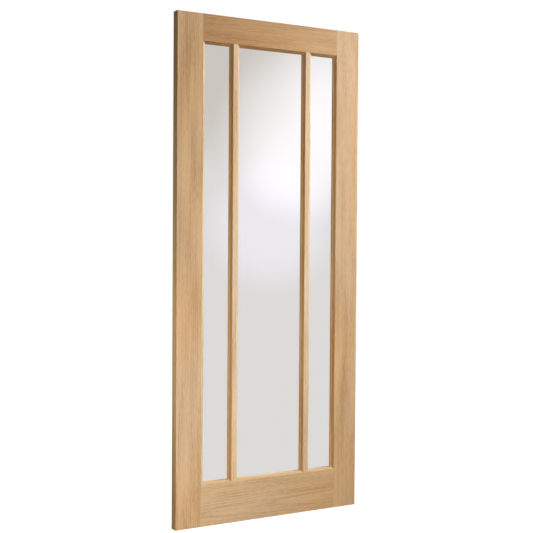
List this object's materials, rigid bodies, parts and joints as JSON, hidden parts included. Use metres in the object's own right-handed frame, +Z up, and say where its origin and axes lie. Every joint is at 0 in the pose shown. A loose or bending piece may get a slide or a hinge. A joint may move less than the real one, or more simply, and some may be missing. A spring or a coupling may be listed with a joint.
{
  "type": "glazed interior door leaf",
  "caption": "Oak interior door leaf with plain stiles and rails, slim vertical muntins and tall clear panes held by mitred splayed glazing beads.",
  "frame": {"origin": "on the flat hinge edge, at the foot of the leaf and halfway through its thickness", "axes": "+X across the leaf from the hinge edge to the lock edge, +Y from the front face to the back face, +Z up"},
  "size_m": [0.838, 0.035, 1.981],
  "materials": {
    "oak_veneer": "fine sanded oak veneer on an engineered core, unfinished",
    "solid_oak": "fine sanded solid oak, unfinished",
    "bead_oak": "planed solid oak bead, unfinished",
    "clear_glass": "clear toughened sheet glass"
  },
  "bodies": {
    "root": {"left_lipping": "solid_oak", "right_lipping": "solid_oak", "left_stile": "oak_veneer", "right_stile": "oak_veneer", "top_rail": "oak_veneer", "bottom_rail": "oak_veneer", "left_muntin": "solid_oak", "right_muntin": "solid_oak", "left_pane": "clear_glass", "centre_pane": "clear_glass", "right_pane": "clear_glass", "left_front_bottom_bead": "bead_oak", "left_front_right_bead": "bead_oak", "left_front_top_bead": "bead_oak", "left_front_left_bead": "bead_oak", "left_back_bottom_bead": "bead_oak", "left_back_right_bead": "bead_oak", "left_back_top_bead": "bead_oak", "left_back_left_bead": "bead_oak", "centre_front_bottom_bead": "bead_oak", "centre_front_right_bead": "bead_oak", "centre_front_top_bead": "bead_oak", "centre_front_left_bead": "bead_oak", "centre_back_bottom_bead": "bead_oak", "centre_back_right_bead": "bead_oak", "centre_back_top_bead": "bead_oak", "centre_back_left_bead": "bead_oak", "right_front_bottom_bead": "bead_oak", "right_front_right_bead": "bead_oak", "right_front_top_bead": "bead_oak", "right_front_left_bead": "bead_oak", "right_back_bottom_bead": "bead_oak", "right_back_right_bead": "bead_oak", "right_back_top_bead": "bead_oak", "right_back_left_bead": "bead_oak"}
  },
  "joints": []
}
